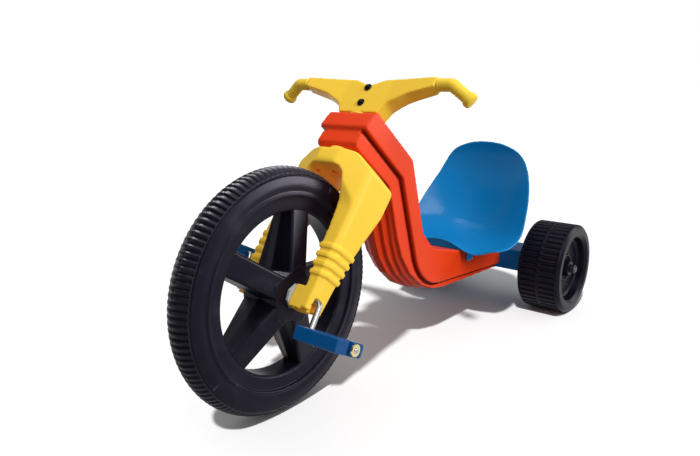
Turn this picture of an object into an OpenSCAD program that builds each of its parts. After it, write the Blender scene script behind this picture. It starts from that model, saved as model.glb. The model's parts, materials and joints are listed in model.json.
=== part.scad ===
// Low rider tricycle: one big front wheel with pedals on its axle, a bucket
// seat close to the ground and two wide rear wheels. Millimetres, +X forward,
// +Y to the rider's left, +Z up, ground at z = 0.

/* [Wheels] */
// Outside diameter of the front wheel
front_d = 406.4; // [396:1:412]
// Width of the front tyre
front_w = 54; // [48:1:58]
// Outside diameter of each rear wheel
rear_d = 209; // [200:1:214]
// Width of each rear wheel
rear_w = 102; // [90:1:106]
// Distance between the front and rear wheel centres
wheelbase = 753; // [740:1:770]
// Distance between the middles of the rear wheels
track = 334; // [330:1:350]

/* [Steering] */
// Lean of the steering axis from upright, in degrees
rake = 39; // [38:0.5:40]
// Distance between the outer faces of the fork legs
fork_w = 172; // [168:1:180]
// Width over the ends of the handgrips
bar_w = 434; // [410:1:440]
// Length of each crank arm
crank_len = 52; // [46:1:58]

/* [Frame and seat] */
// Width of the widest band of the frame
frame_w = 104; // [98:1:108]
// Widest part of the seat
seat_w = 296; // [280:1:300]
// Height of the top of the seat back above the ground
seat_top = 393; // [380:1:405]
// Thickness of the moulded plastic walls
wall = 3.2; // [2.6:0.1:3.6]

/* [Hidden] */
$fn = 64;
front_r = front_d / 2;
rear_r = rear_d / 2;
hub_x = (wheelbase + rear_r - front_r) / 2;
axle_x = hub_x - wheelbase;
run = 0.05;
gap = 0.3;
knuckle = 0.5;

// Steering frame: u runs up the steering axis from the front hub, v forward of it
leg_w = 46;
leg_foot_w = 21;
crown_low = front_r + 23;
crown_top = crown_low + 33;
head_low = crown_top + 7;
head_top = head_low + 74;
head_front = 25;
head_back = 122;
band_t = 40;
groove = 5;
stem_r = 14;
bush_wall = 4;
bush_len = 22;
bush_r = stem_r + run + bush_wall;
bar_h = 76;
stem_top = head_top + bar_h - 8;
bolt_u = [head_top + 24, head_top + 57];
bolt_r = 3.2;

// Front hub and crank
crank_r = 5;
hub_face = 38;
hub_flat = 40;
boss_r = 13;
spacer_r = 21;
spacer_t = 4;
foot_in = hub_face + knuckle + spacer_t + 2 * gap;
foot_out = fork_w / 2;
arm_y = foot_out + crank_r + 2;
arm_splay = 9;
crank_dir = -45;
pin_x = crank_len * cos(crank_dir);
pin_z = crank_len * sin(crank_dir);
pin_y = arm_y + arm_splay;
pin_r = 4.5;
pedal_in = pin_y + crank_r + 3;
pedal_len = 79;
pedal_depth = 64;
pedal_t = 21;
pedal_tilt = 27;
pin_back = 20;
ring_t = 3;

// Rear axle, in numbers measured from the rear wheel centre
axle_r = 6;
wheel_in = track / 2 - rear_w / 2;
wheel_out = track / 2 + rear_w / 2;
housing_half = wheel_in - 6;
housing_front = 55;
housing_back = 38;
housing_low = 19;
housing_high = 36;
spigot_len = 46;

// Frame outline heights, in shares of the wheel sizes
half_w = frame_w / 2;
knee_z = 1.088 * front_r;
tail_top = rear_r + 25;
tail_low = rear_r - 13;
knee_x = -0.474 * wheelbase;
tail_x = -(wheelbase - housing_front - gap);
band2_w = half_w - 8;
prow_inset = [19, 30, 42];
prow_w = [for (d = prow_inset) half_w - d];

// Seat
seat_half = seat_w / 2;

red = [0.90, 0.25, 0.14];
yellow = [0.95, 0.80, 0.22];
blue = [0.09, 0.42, 0.72];
black = [0.15, 0.14, 0.18];
steel = [0.80, 0.80, 0.82];
white = [0.92, 0.92, 0.90];

// Point of the side view (x from the front hub, z from the ground) at u up and v ahead of the steering axis
function st(u, v) = [v * cos(rake) - u * sin(rake), front_r + u * cos(rake) + v * sin(rake)];

function unit(a) = a / norm(a);

// Corner of a polygon moved inward by d from both of its edges
function inner_corner(a, b, c, d) =
    let (e = unit(b - a), f = unit(c - b), m = [-e[1], e[0]], n = [-f[1], f[0]])
    b + d * (m + n) / (1 + m * n);

// Anticlockwise polygon with every edge moved inward by d
function inset(p, d) =
    [for (i = [0:len(p) - 1]) inner_corner(p[(i + len(p) - 1) % len(p)], p[i], p[(i + 1) % len(p)], d)];

// Polygon with corners given as [x, y, radius], each corner turned into a short arc
function rounded(p, steps = 5) =
    [for (i = [0:len(p) - 1])
        let (a = p[(i + len(p) - 1) % len(p)], b = p[i], c = p[(i + 1) % len(p)])
        each b[2] == 0 ? [[b[0], b[1]]] : fillet([a[0], a[1]], [b[0], b[1]], [c[0], c[1]], b[2], steps)];

// Arc of radius r that rounds the corner b between a and c
function fillet(a, b, c, r, steps) =
    let (back = unit(a - b), ahead = unit(c - b), half = acos(back * ahead) / 2,
         mid = b + unit(back + ahead) * r / sin(half),
         first = b + back * r / tan(half) - mid, last = b + ahead * r / tan(half) - mid)
    [for (k = [0:steps]) mid + unit(first + (last - first) * k / steps) * r];

// Side-view outline made a slab of half width w about the middle plane
module slab(p, w) translate([0, w, 0]) rotate([90, 0, 0]) linear_extrude(2 * w) polygon(p);

module from_hub() translate([hub_x, 0, 0]) children();
module from_axle() translate([axle_x, 0, rear_r]) children();
module steered() translate([hub_x, 0, front_r]) rotate([0, -rake, 0]) children();
module along_y(y0, y1, r) translate([0, y0, 0]) rotate([-90, 0, 0]) cylinder(h = y1 - y0, r = r);
module both() {
    children();
    mirror([0, 1, 0]) children();
}

// Outline with corners given as [x, y, radius]: rounded as it stands, or square and moved inward by d
function outline(p, d) = d == 0 ? rounded(p) : inset([for (q = p) [q[0], q[1]]], d);

// Puts what is drawn up the z axis on the way from a to b
module aimed(a, b) {
    d = b - a;
    translate(a) rotate([0, acos(d[2] / norm(d)), atan2(d[1], d[0])]) children();
}

// Frame
band_low = head_top - band_t;
deck = [-0.54 * wheelbase, 0.97 * front_r];
// Rider's band of the frame, seen from the side
band_side = rounded([
    [tail_x, rear_r - 3, 0],
    concat([-0.463 * wheelbase, 0.63 * front_r], 100),
    concat(st(band_low - 3, -head_back + 4), 14),
    concat(st(band_low, head_front + 9), 5),
    concat(st(head_top, head_front), 10),
    concat(st(head_top, -head_back), 14),
    [knee_x, knee_z, 22],
    concat(deck, 60),
    [tail_x, tail_top, 0]]);
sole = [-0.412 * wheelbase, 0.544 * front_r];
brow = st(head_low, -head_back + 22);
// Whole frame less the width of its bands, seen from the side
body_side = rounded([
    [tail_x, tail_low, 0],
    concat(sole, 190),
    concat(brow, 20),
    concat(st(head_low, head_front + 6), 8),
    concat(st(head_top - 5, head_front - 2), 8),
    concat(st(head_top - 5, -head_back + 2), 10),
    [knee_x + 6, knee_z - 4, 22],
    concat(deck + [0, -5], 60),
    [tail_x, tail_top - 5, 0]]);

// Stepped prow layer standing ahead of the frame by d
function prow_side(d) = rounded([
    [-0.66 * wheelbase, tail_low + 24, 0],
    [-0.66 * wheelbase, tail_low + 10, 0],
    concat(sole + [d, 0.4 * d], 170),
    concat(brow + [-14 + 0.82 * d, -36 - 0.6 * d], 12),
    concat(brow + [-50, -26], 0)]);
prow_step = [6, 17, 30];

module frame_outside(d) {
    slab(inset(band_side, d), half_w - d);
    slab(inset(body_side, d), band2_w - 6 - d);
    difference() {
        slab(inset(body_side, d), band2_w - d);
        slab(inset(band_side, -groove - d), half_w);
    }
    for (i = [0:2]) slab(inset(prow_side(prow_step[i]), d), prow_w[i] - d);
}

module frame_shell() color(red) difference() {
    union() {
        from_hub() difference() {
            frame_outside(0);
            frame_outside(wall);
        }
        steered() translate([0, 0, head_low + 1]) cylinder(h = head_top - head_low - 2, r = bush_r + wall);
    }
    steered() translate([0, 0, head_low - 20]) cylinder(h = head_top - head_low + 40, r = bush_r + run);
    from_hub() slab(spigot_side(gap), spigot_half + gap);
    for (s = [-1, 1]) screw_at(s) cylinder(h = 2 * screw_len, r = screw_r + run, center = true);
}

// Lower bush with its thrust flange, and the upper one
thrust_r = bush_r + 9;
collar_r = bush_r + 3;
collar_t = 3;
module head_bushes() color(yellow) steered() difference() {
    union() {
        translate([0, 0, crown_top + gap]) cylinder(h = head_low - crown_top - 2 * gap, r = thrust_r);
        translate([0, 0, crown_top + gap]) cylinder(h = head_low - crown_top + bush_len, r = bush_r);
        translate([0, 0, head_top + gap]) cylinder(h = collar_t, r = collar_r);
        translate([0, 0, head_top - bush_len]) cylinder(h = bush_len + gap + collar_t, r = bush_r);
    }
    cylinder(h = stem_top, r = stem_r + run);
}

// Rear axle housing and what fastens it
screw_r = 2.5;
screw_len = 26;
screw_head_r = 5;
screw_head_t = 3;
axle_boss_r = axle_r + 7;
axle_boss_len = 30;
washer_r = axle_r + 8;
spigot_half = band2_w - 12;
function spigot_side(d) = [[tail_x - 1, tail_low + 9 - d], [tail_x + spigot_len + d, tail_low + 12 - d],
                           [tail_x + spigot_len + d, tail_top - 9 + d], [tail_x - 1, tail_top - 13 + d]];
module screw_at(s) from_hub()
    translate([tail_x + spigot_len / 2, s * spigot_half / 2, tail_low + 2]) children();

housing_side = rounded([[-housing_back, -housing_low, 12], [housing_front, -housing_low + 4, 8],
                        [housing_front, housing_high - 2, 10], [-housing_back, housing_high, 14]]);
module axle_housing() color(blue) difference() {
    union() {
        from_axle() difference() {
            slab(housing_side, housing_half);
            slab(inset(housing_side, wall), housing_half - wall);
        }
        from_axle() both() along_y(housing_half - axle_boss_len, housing_half, axle_boss_r);
        from_hub() slab(spigot_side(0), spigot_half);
    }
    from_axle() along_y(-wheel_in, wheel_in, axle_r + run);
    for (s = [-1, 1]) screw_at(s) cylinder(h = screw_len + 2, r = screw_r + run);
}

module housing_screws() color(steel) for (s = [-1, 1]) screw_at(s) {
    translate([0, 0, -screw_head_t]) cylinder(h = screw_len + screw_head_t, r = screw_r);
    translate([0, 0, -screw_head_t - 2.5]) cylinder(h = screw_head_t, r = screw_head_r);
}

hub_end = rear_w / 2 - 10;
axle_half = track / 2 + hub_end + 7;
module rear_axle() color(steel) from_axle() along_y(-axle_half, axle_half, axle_r);

module axle_washers() color(steel) from_axle() both() difference() {
    along_y(housing_half + gap, wheel_in - gap, washer_r);
    along_y(0, wheel_in, axle_r + run);
}

// Fork, drawn in the steering frame: x is v, z is u
leg_in = foot_out - leg_w;
leg_foot_in = foot_out - leg_foot_w;
leg_front = 12;
crown_front = 38;
crown_back = 66;
shoulder_w = 36;
shoulder_h = 26;
leg_end = 30;
fork_side = [
    [-21, -17, 3], [leg_front, -17, 4], [leg_front, 0.836 * front_r, 60],
    [crown_front, crown_top - shoulder_h, 14], [crown_front - 2, crown_top, 6],
    [20 - crown_back, crown_top, 16], [-crown_back, crown_top - 22, 36],
    [2 - crown_back, 0.9 * front_r, 40], [-36, 0.44 * front_r, 100], [-26, 0.18 * front_r, 20]];
arch_r = 20;
fork_front = [
    [leg_foot_in, -leg_end, 0], [foot_out, -leg_end, 0], [foot_out, crown_top - shoulder_h, 10],
    [foot_out - shoulder_w, crown_top, 16], [shoulder_w - foot_out, crown_top, 16],
    [-foot_out, crown_top - shoulder_h, 10], [-foot_out, -leg_end, 0], [-leg_foot_in, -leg_end, 0],
    [-leg_in, crown_low, arch_r], [leg_in, crown_low, arch_r]];
leg_bevel = 10;
fork_plan = [
    [-90, -foot_out, 0], [3, -foot_out, 3], [3 + leg_bevel, leg_bevel - foot_out, 3], [crown_front, -18, 20],
    [crown_front, 18, 20], [3 + leg_bevel, foot_out - leg_bevel, 3], [3, foot_out, 3], [-90, foot_out, 0]];

module bolt_holes() for (u = bolt_u)
    translate([0, 0, u]) rotate([0, 90, 0]) cylinder(h = 4 * stem_r, r = bolt_r + run, center = true);

module fork_outside(d) intersection() {
    slab(outline(fork_side, d), 2 * foot_out);
    rotate([90, 0, 90]) linear_extrude(4 * front_r, center = true) polygon(outline(fork_front, d));
    translate([0, 0, -front_r]) linear_extrude(3 * front_r) polygon(outline(fork_plan, d));
}

rib_u = 0.195 * front_r;
rib_pitch = 15.5;
rib_t = 8;
rib_h = 2.6;
module fork_ribs() for (k = [0:3]) intersection() {
    translate([-front_r, -front_r, rib_u + k * rib_pitch]) cube([2 * front_r, 2 * front_r, rib_t]);
    slab(outline(fork_side, -rib_h), foot_out + rib_h);
    rotate([90, 0, 90]) linear_extrude(2 * front_r, center = true) polygon(outline(fork_front, -rib_h));
    translate([0, 0, -front_r]) linear_extrude(3 * front_r) polygon(outline(fork_plan, -rib_h));
}

foot_back = 18;
foot_low = 19;
foot_high = 18;
hollow_low = 26;
slot_v = [2, 11];
slot_y = [leg_in - 11, leg_in - 4];
slot_u = [crown_low - arch_r, crown_low + 8];
module leg_slot() translate([slot_v[0], slot_y[0], slot_u[0]])
    cube([slot_v[1] - slot_v[0], slot_y[1] - slot_y[0], slot_u[1] - slot_u[0]]);

module fork() color(yellow) steered() difference() {
    union() {
        difference() {
            fork_outside(0);
            intersection() {
                fork_outside(wall + 0.6);
                translate([-front_r, -front_r, hollow_low]) cube(2 * front_r);
            }
        }
        fork_ribs();
        both() translate([-foot_back, foot_in, -foot_low])
            cube([foot_back + leg_front, leg_foot_in - foot_in + 1, foot_low + foot_high]);
        translate([0, 0, crown_low]) cylinder(h = stem_top - crown_low, r = stem_r);
    }
    translate([0, 0, crown_low - 10]) cylinder(h = stem_top, r = stem_r - 5);
    along_y(-fork_w, fork_w, crank_r + run);
    translate([-crank_r - run, -fork_w, -leg_end]) cube([2 * (crank_r + run), 2 * fork_w, leg_end]);
    both() leg_slot();
    bolt_holes();
}

keeper_in = foot_in + 3;
keeper_out = foot_out - 8;
keeper_low = 20;
module axle_keepers() color(yellow) steered() both() difference() {
    translate([-crank_r - run + gap / 2, keeper_in, -keeper_low])
        cube([2 * (crank_r + run) - gap, keeper_out - keeper_in, keeper_low - 0.6 * crank_r]);
    along_y(-fork_w, fork_w, crank_r + run);
}

// Handlebar, drawn in the steering frame
bar_low = head_top + 3.6;
bar_top = head_top + bar_h;
grip_r = 11;
grip_len = 74;
grip_bend = 47;
grip_drop = 32;
knob_r = 13.5;
knob_len = 9;
knob_edge = 4;
spigot_r = 7;
seam_y = bar_w / 2 - grip_len;
elbow = [18, bar_w / 2 - grip_bend, bar_top - 13];
grip_end = [-2, bar_w / 2 - 0.8 * knob_r, bar_top - grip_drop];
// Half of the bar seen along the steering frame, from its foot out to the seam and back to the middle dip
wing = [[42, bar_low, 0], [54, bar_low + 21, 20], [90, bar_low + 38, 60], [seam_y, bar_top - 23, 0],
        [seam_y, bar_top - 3, 0], [36, bar_top, 12]];
bar_front = concat(wing, [[0, bar_top - 13, 6]],
                   [for (k = [len(wing) - 1:-1:0]) [-wing[k][0], wing[k][1], wing[k][2]]]);
// Front edge and back edge of the bar's left half seen from above
plan_front = [[18, 50, 60], [elbow[0] + 12, seam_y + 9, 0]];
plan_back = [[elbow[0] - 12, seam_y + 9, 0], [-9, 70, 30], [-19, 36, 20]];
bar_half_plan = concat(plan_front, plan_back);
bar_plan = concat([for (k = [len(bar_half_plan) - 1:-1:0])
                      [bar_half_plan[k][0], -bar_half_plan[k][1], bar_half_plan[k][2]]], bar_half_plan);

module bar_outside(d) intersection() {
    rotate([90, 0, 90]) linear_extrude(front_r, center = true) polygon(outline(bar_front, d));
    linear_extrude(2 * head_top) polygon(outline(bar_plan, d));
}

module handlebar() color(yellow) steered() difference() {
    union() {
        difference() {
            bar_outside(0);
            bar_outside(wall);
        }
        translate([0, 0, bar_low]) cylinder(h = bolt_u[1] + 8 - bar_low, r = stem_r + wall);
        both() translate([elbow[0], 0, elbow[2]]) along_y(seam_y - 12, elbow[1], spigot_r);
    }
    translate([0, 0, bar_low - 1]) cylinder(h = stem_top - bar_low + 2, r = stem_r + run);
    bolt_holes();
}

// Held part of a grip as [radius, length from the elbow], flared at its end
held = norm(grip_end - elbow);
held_section = [[0, 0], [grip_r, 0], [grip_r, held - knob_len - knob_edge], [knob_r, held - knob_len],
                [knob_r, held - knob_edge], [knob_r - knob_edge, held], [0, held]];
module grip() steered() difference() {
    union() {
        translate([elbow[0], 0, elbow[2]]) along_y(seam_y + gap, elbow[1], grip_r);
        translate(elbow) sphere(grip_r + knuckle);
        aimed(elbow, grip_end) rotate_extrude() polygon(held_section);
    }
    translate([elbow[0], 0, elbow[2]]) along_y(seam_y, elbow[1] + gap, spigot_r + run);
}
module left_grip() color(yellow) grip();
module right_grip() color(yellow) mirror([0, 1, 0]) grip();

bolt_front = 18.4;
bolt_back = 19.4;
dome_r = 8;
dome_h = 5;
nut_r = 6.4;
nut_t = 4.5;
module handlebar_bolts() color(black) steered() for (u = bolt_u) translate([0, 0, u]) rotate([0, 90, 0]) {
    translate([0, 0, -bolt_back - nut_t - knuckle])
        cylinder(h = bolt_back + nut_t + bolt_front + 1, r = bolt_r);
    translate([0, 0, bolt_front]) intersection() {
        translate([0, 0, dome_h - dome_r]) sphere(dome_r);
        cylinder(h = dome_r, r = dome_r);
    }
}

module handlebar_nuts() color(steel) steered() for (u = bolt_u) translate([-bolt_back, 0, u])
    rotate([0, -90, 0]) difference() {
        cylinder(h = nut_t, r = nut_r, $fn = 6);
        translate([0, 0, -1]) cylinder(h = nut_t + 2, r = bolt_r + run);
    }

// Front wheel
tread_half = front_w / 2 - 3;
tread_drop = 0.048 * front_r;
tread_arc = (tread_half * tread_half + tread_drop * tread_drop) / (2 * tread_drop);
step_r = 0.769 * front_r;
open_r = 0.655 * front_r;
spokes = 5;
spoke_lean = 16;
// Half widths of a spoke at the parting plane, at the rim's face and at the hub's face
spoke_mid = 23;
spoke_rim = 17.5;
spoke_hub = 14.5;
rim_face = 20;
spoke_root = 20;
hub_r = hub_flat / cos(180 / spokes);
// One side of the tyre section, from the crown to the wheel opening, as [radius, side]
tyre_half = concat(
    [for (k = [0:6]) let (a = asin(tread_half / tread_arc) * k / 6)
        [front_r - tread_arc * (1 - cos(a)), tread_arc * sin(a)]],
    [[front_r - tread_drop - 2, tread_half - 1.2], [front_r - tread_drop - 4, tread_half + 0.6],
     [0.9 * front_r, front_w / 2 - 0.6], [0.85 * front_r, front_w / 2], [0.79 * front_r, front_w / 2 - 0.6],
     [step_r + 1, front_w / 2 - 1], [step_r, tread_half - 0.4], [open_r + 4, tread_half - 2],
     [open_r, tread_half - 5]]);
tyre_section = concat([for (k = [len(tyre_half) - 1:-1:1]) [tyre_half[k][0], -tyre_half[k][1]]], tyre_half);

// Section of a spoke, widest at the parting plane, and its outline seen along the wheel
spoke_section = [[spoke_mid, 0], [spoke_rim, rim_face], [spoke_hub, front_w], [-spoke_hub, front_w],
                 [-spoke_rim, rim_face], [-spoke_mid, 0], [-spoke_rim, -rim_face], [-spoke_hub, -front_w],
                 [spoke_hub, -front_w], [spoke_rim, -rim_face]];
spoke_side = [[-hub_face, 0], [hub_face, 0], [hub_face, hub_flat], [rim_face, open_r + 3],
              [-rim_face, open_r + 3], [-hub_face, hub_flat]];
module spoke(d, high) intersection() {
    translate([0, 0, spoke_root]) linear_extrude(high - spoke_root) polygon(inset(spoke_section, d));
    rotate([90, 0, 90]) linear_extrude(front_r, center = true) polygon(inset(spoke_side, d));
}
module spokes_all(d, high)
    for (k = [0:spokes - 1]) rotate([0, k * 360 / spokes - spoke_lean, 0]) spoke(d, high);

// Five-sided hub with a corner at each spoke
module hub_block(d) rotate([0, -90 - spoke_lean, 0]) along_y(d - hub_face - knuckle, hub_face + knuckle - d,
                                                              hub_r - d / cos(180 / spokes), $fn = spokes);

module front_wheel() color(black) translate([hub_x, 0, front_r]) difference() {
    union() {
        rotate([-90, 0, 0]) rotate_extrude($fn = 180) polygon(tyre_section);
        spokes_all(0, open_r + 2.5);
        hub_block(0);
    }
    rotate([-90, 0, 0]) rotate_extrude($fn = 180) polygon(inset(tyre_section, wall));
    difference() {
        union() {
            spokes_all(wall, open_r - 1);
            hub_block(wall);
        }
        along_y(-front_w, front_w, boss_r);
    }
    along_y(-front_w, front_w, crank_r + run);
}

module hub_bushings() color(white) translate([hub_x, 0, front_r]) both() difference() {
    along_y(foot_in - gap - spacer_t, foot_in - gap, spacer_r, $fn = 8);
    along_y(0, foot_in, crank_r + run);
}

// Crank and pedals
module crank_side() {
    aimed([0, arm_y, 0], [pin_x, pin_y, pin_z]) cylinder(h = norm([crank_len, arm_splay]), r = crank_r);
    translate([0, arm_y, 0]) sphere(crank_r + knuckle);
    translate([pin_x, pin_y, pin_z]) sphere(crank_r + knuckle);
    translate([pin_x, 0, pin_z]) along_y(pin_y, pedal_in + pedal_len + ring_t + 1.5, pin_r);
}
module pedal_crank() color(steel) translate([hub_x, 0, front_r]) {
    along_y(-arm_y, arm_y, crank_r);
    crank_side();
    rotate([0, 0, 180]) mirror([0, 0, 1]) crank_side();
}

// Slot in the outer end of a pedal, ahead of its pin
slot_x = 7;
slot_wide = 10;
slot_long = 24;
ring_r = pin_r + 4.5;
pedal_side = rounded([[-pin_back, -pedal_t / 2, 5], [pedal_depth - pin_back, -pedal_t / 2, 3],
                      [pedal_depth - pin_back, pedal_t / 2, 3], [-pin_back, pedal_t / 2, 5]]);
module pedal() difference() {
    translate([0, pedal_len, 0]) rotate([90, 0, 0]) linear_extrude(pedal_len) polygon(pedal_side);
    along_y(-1, pedal_len + 1, pin_r + run);
    translate([slot_x, pedal_len - slot_long, -pedal_t]) cube([slot_wide, 2 * slot_long, 2 * pedal_t]);
}
module pedal_ring() difference() {
    along_y(pedal_len + gap, pedal_len + ring_t, ring_r);
    along_y(0, 2 * pedal_len, pin_r + run);
}
module at_left_pin()
    translate([hub_x + pin_x, pedal_in, front_r + pin_z]) rotate([0, -pedal_tilt, 0]) children();
module at_right_pin()
    translate([hub_x - pin_x, -pedal_in, front_r - pin_z]) rotate([0, -pedal_tilt, 0])
        mirror([0, 1, 0]) children();
module left_pedal() color(blue) at_left_pin() pedal();
module right_pedal() color(blue) at_right_pin() pedal();
module left_pedal_ring() color(steel) at_left_pin() pedal_ring();
module right_pedal_ring() color(steel) at_right_pin() pedal_ring();

// Rear wheels, drawn with the outer face towards +side
dish_r = 0.68 * rear_r;
rear_half = rear_w / 2;
rear_edge = 12;
dish_depth = 24;
rear_hub_r = 18;
rear_section = rounded([
    [axle_r + run, -rear_half, 0], [rear_hub_r, -rear_half, 2], [rear_hub_r + 2, 4 - rear_half, 2],
    [rear_r - rear_edge, 2 - rear_half, 8], [rear_r, rear_edge - rear_half, 10],
    [rear_r, rear_half - rear_edge, 10], [rear_r - rear_edge, rear_half, 7],
    [dish_r + 8, rear_half, 5], [dish_r, rear_half - dish_depth, 8],
    [rear_hub_r + 4, rear_half - dish_depth - 2, 6], [rear_hub_r - 1, hub_end, 2],
    [axle_r + run, hub_end, 0]]);
module rear_wheel() translate([axle_x, track / 2, rear_r]) rotate([-90, 0, 0]) difference() {
    rotate_extrude($fn = 120) polygon(rear_section);
    rotate_extrude($fn = 120) polygon(inset(rear_section, wall));
}
module left_rear_wheel() color(black) rear_wheel();
module right_rear_wheel() color(black) mirror([0, 1, 0]) rear_wheel();

cap_r = 10;
cap_t = 5;
module axle_cap() from_axle() difference() {
    union() {
        along_y(track / 2 + hub_end + gap, axle_half + 2, cap_r);
        translate([0, axle_half, 0]) rotate([-90, 0, 0]) cylinder(h = cap_t, r1 = cap_r, r2 = cap_r - 3);
    }
    along_y(0, axle_half + run, axle_r + run);
}
module left_axle_cap() color(steel) axle_cap();
module right_axle_cap() color(steel) mirror([0, 1, 0]) axle_cap();

// Seat: rows of points from the front lip back and up to the top of the backrest
function deck_at(x) = deck[1] + (x - deck[0]) * (deck[1] - tail_top) / (deck[0] - tail_x);
pan_x = 0.87 * wheelbase;
pan_z = deck_at(-pan_x);
function low(k, rise, w) = [-k * wheelbase, w * seat_half, deck_at(-k * wheelbase) + rise];
function high(k, share, w) = [-k * wheelbase, w * seat_half, pan_z + share * (seat_top - pan_z)];
mid_row = [low(0.657, 20.5, 0), low(0.69, 16.5, 0), low(0.744, 14.6, 0), low(0.81, 18.8, 0),
           low(0.87, 30.7, 0),
           high(0.919, 0.198, 0), high(0.946, 0.356, 0), high(0.959, 0.553, 0), high(0.959, 0.731, 0),
           high(0.95, 0.87, 0), high(0.939, 0.957, 0), high(0.93, 1, 0)];
rim_row = [low(0.671, 12, 0.93), low(0.71, 20, 1), low(0.76, 34.5, 1), low(0.797, 51, 0.98),
           low(0.819, 70, 0.96), high(0.837, 0.395, 0.94), high(0.863, 0.49, 0.905),
           high(0.891, 0.60, 0.85), high(0.914, 0.704, 0.784),
           high(0.926, 0.814, 0.703), high(0.928, 0.90, 0.595), high(0.928, 0.96, 0.42)];

// Smooth curve through the points of p, s running from 0 to 1
function curve(p, s) =
    let (n = len(p) - 1, i = min(floor(s * n), n - 1), f = s * n - i,
         a = p[max(i - 1, 0)], b = p[i], c = p[i + 1], d = p[min(i + 2, n)])
    0.5 * (2 * b + (c - a) * f + (2 * a - 5 * b + 4 * c - d) * f * f + (3 * b - a - 3 * c + d) * f * f * f);

thigh_dip = 21;
dip_end = 0.33;
dip_spread = 1.3;
// Point of the sitting surface at s along the seat and t across it from -1 to 1
function pan(s, t) =
    let (m = curve(mid_row, s), r = curve(rim_row, s), f = pow(abs(t), 2.3),
         dip = thigh_dip * pow(max(0, 1 - s / dip_end), 1.2) * pow(sin(180 * pow(abs(t), dip_spread)), 2))
    [m[0] + (r[0] - m[0]) * f, r[1] * t, m[2] + (r[2] - m[2]) * f - dip];
function pan_normal(s, t) =
    let (e = 0.004,
         along = pan(min(s + e, 1), t) - pan(max(s - e, 0), t),
         across = pan(s, min(t + e, 1)) - pan(s, max(t - e, -1)))
    unit(cross(across, along));
seat_rows = 30;
seat_cols = 26;
function grid(lift) = [for (i = [0:seat_rows], j = [0:seat_cols])
    let (s = i / seat_rows, t = 2 * j / seat_cols - 1) pan(s, t) + lift * pan_normal(s, t)];
row = seat_cols + 1;
sheet = row * (seat_rows + 1);
seat_faces = concat(
    [for (i = [0:seat_rows - 1], j = [0:seat_cols - 1]) let (k = i * row + j) each
        [[k, k + row, k + 1], [k + 1, k + row, k + row + 1],
         [sheet + k, sheet + k + 1, sheet + k + row], [sheet + k + 1, sheet + k + row + 1, sheet + k + row]]],
    [for (j = [0:seat_cols - 1]) let (k = j, m = sheet - row + j) each
        [[k, k + 1, sheet + k], [k + 1, sheet + k + 1, sheet + k],
         [m + 1, m, sheet + m], [m + 1, sheet + m, sheet + m + 1]]],
    [for (i = [0:seat_rows - 1]) let (k = i * row, m = k + seat_cols) each
        [[k + row, k, sheet + k], [k + row, sheet + k, sheet + k + row],
         [m, m + row, sheet + m], [m + row, sheet + m + row, sheet + m]]]);

saddle_half = 20;
saddle_front = -0.7 * wheelbase;
saddle_back = -0.87 * wheelbase;
saddle_side = [[saddle_back, deck_at(saddle_back) + gap], [saddle_front, deck_at(saddle_front) + gap],
               [saddle_front, curve(mid_row, 0.12)[2] - 2.5], [-0.744 * wheelbase, mid_row[2][2] - 3],
               [-0.81 * wheelbase, mid_row[3][2] - 2], [saddle_back, mid_row[4][2] - 3]];
tab_x = -0.735 * wheelbase;
tab_len = 27;
tab_t = 4;
tab_high = 27;
tab_drop = 19;
module seat() color(blue) from_hub() union() {
    polyhedron(concat(grid(0), grid(-wall - 0.8)), seat_faces);
    slab(saddle_side, saddle_half);
    both() translate([tab_x, half_w + 1.5, deck_at(tab_x) - tab_drop]) cube([tab_len, tab_t, tab_high]);
}

frame_shell();
head_bushes();
axle_housing();
housing_screws();
rear_axle();
axle_washers();
fork();
axle_keepers();
handlebar();
left_grip();
right_grip();
handlebar_bolts();
handlebar_nuts();
front_wheel();
hub_bushings();
pedal_crank();
left_pedal();
right_pedal();
left_pedal_ring();
right_pedal_ring();
left_rear_wheel();
right_rear_wheel();
left_axle_cap();
right_axle_cap();
seat();
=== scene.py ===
"""Finishes a low rider tricycle: moulded shells, ribbed tyres, bucket seat, pedals and a studio."""

import json
import math
import bmesh
import bpy
from bpy.props import FloatProperty, FloatVectorProperty, IntProperty, PointerProperty
from bpy.types import Operator, Panel, PropertyGroup
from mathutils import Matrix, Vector

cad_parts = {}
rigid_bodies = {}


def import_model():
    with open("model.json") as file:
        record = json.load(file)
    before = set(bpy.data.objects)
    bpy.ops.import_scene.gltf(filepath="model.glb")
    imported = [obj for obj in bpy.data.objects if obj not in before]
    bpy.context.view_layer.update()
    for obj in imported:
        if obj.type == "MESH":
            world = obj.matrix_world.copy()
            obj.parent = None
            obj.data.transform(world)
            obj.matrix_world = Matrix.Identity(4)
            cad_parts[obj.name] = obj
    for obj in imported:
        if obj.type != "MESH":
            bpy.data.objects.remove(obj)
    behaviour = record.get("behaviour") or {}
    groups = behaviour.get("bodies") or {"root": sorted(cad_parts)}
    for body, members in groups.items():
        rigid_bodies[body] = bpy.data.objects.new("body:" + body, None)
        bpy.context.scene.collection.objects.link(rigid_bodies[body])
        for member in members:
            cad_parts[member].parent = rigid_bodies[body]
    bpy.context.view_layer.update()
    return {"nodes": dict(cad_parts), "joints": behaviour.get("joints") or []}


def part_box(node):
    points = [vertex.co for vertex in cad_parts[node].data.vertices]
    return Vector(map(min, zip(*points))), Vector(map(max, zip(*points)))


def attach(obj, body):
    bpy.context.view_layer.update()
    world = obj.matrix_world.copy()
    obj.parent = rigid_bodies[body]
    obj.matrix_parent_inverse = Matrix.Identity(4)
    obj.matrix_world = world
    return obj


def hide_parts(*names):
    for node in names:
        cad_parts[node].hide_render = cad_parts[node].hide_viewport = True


bl_info = {
    "name": "Low Rider Tricycle",
    "version": (1, 0, 0),
    "blender": (4, 5, 0),
    "location": "View3D > Sidebar > Tricycle",
    "description": "Dresses a low rider tricycle with moulded shells, ribbed tyres and a studio",
    "category": "Object",
}

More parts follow.
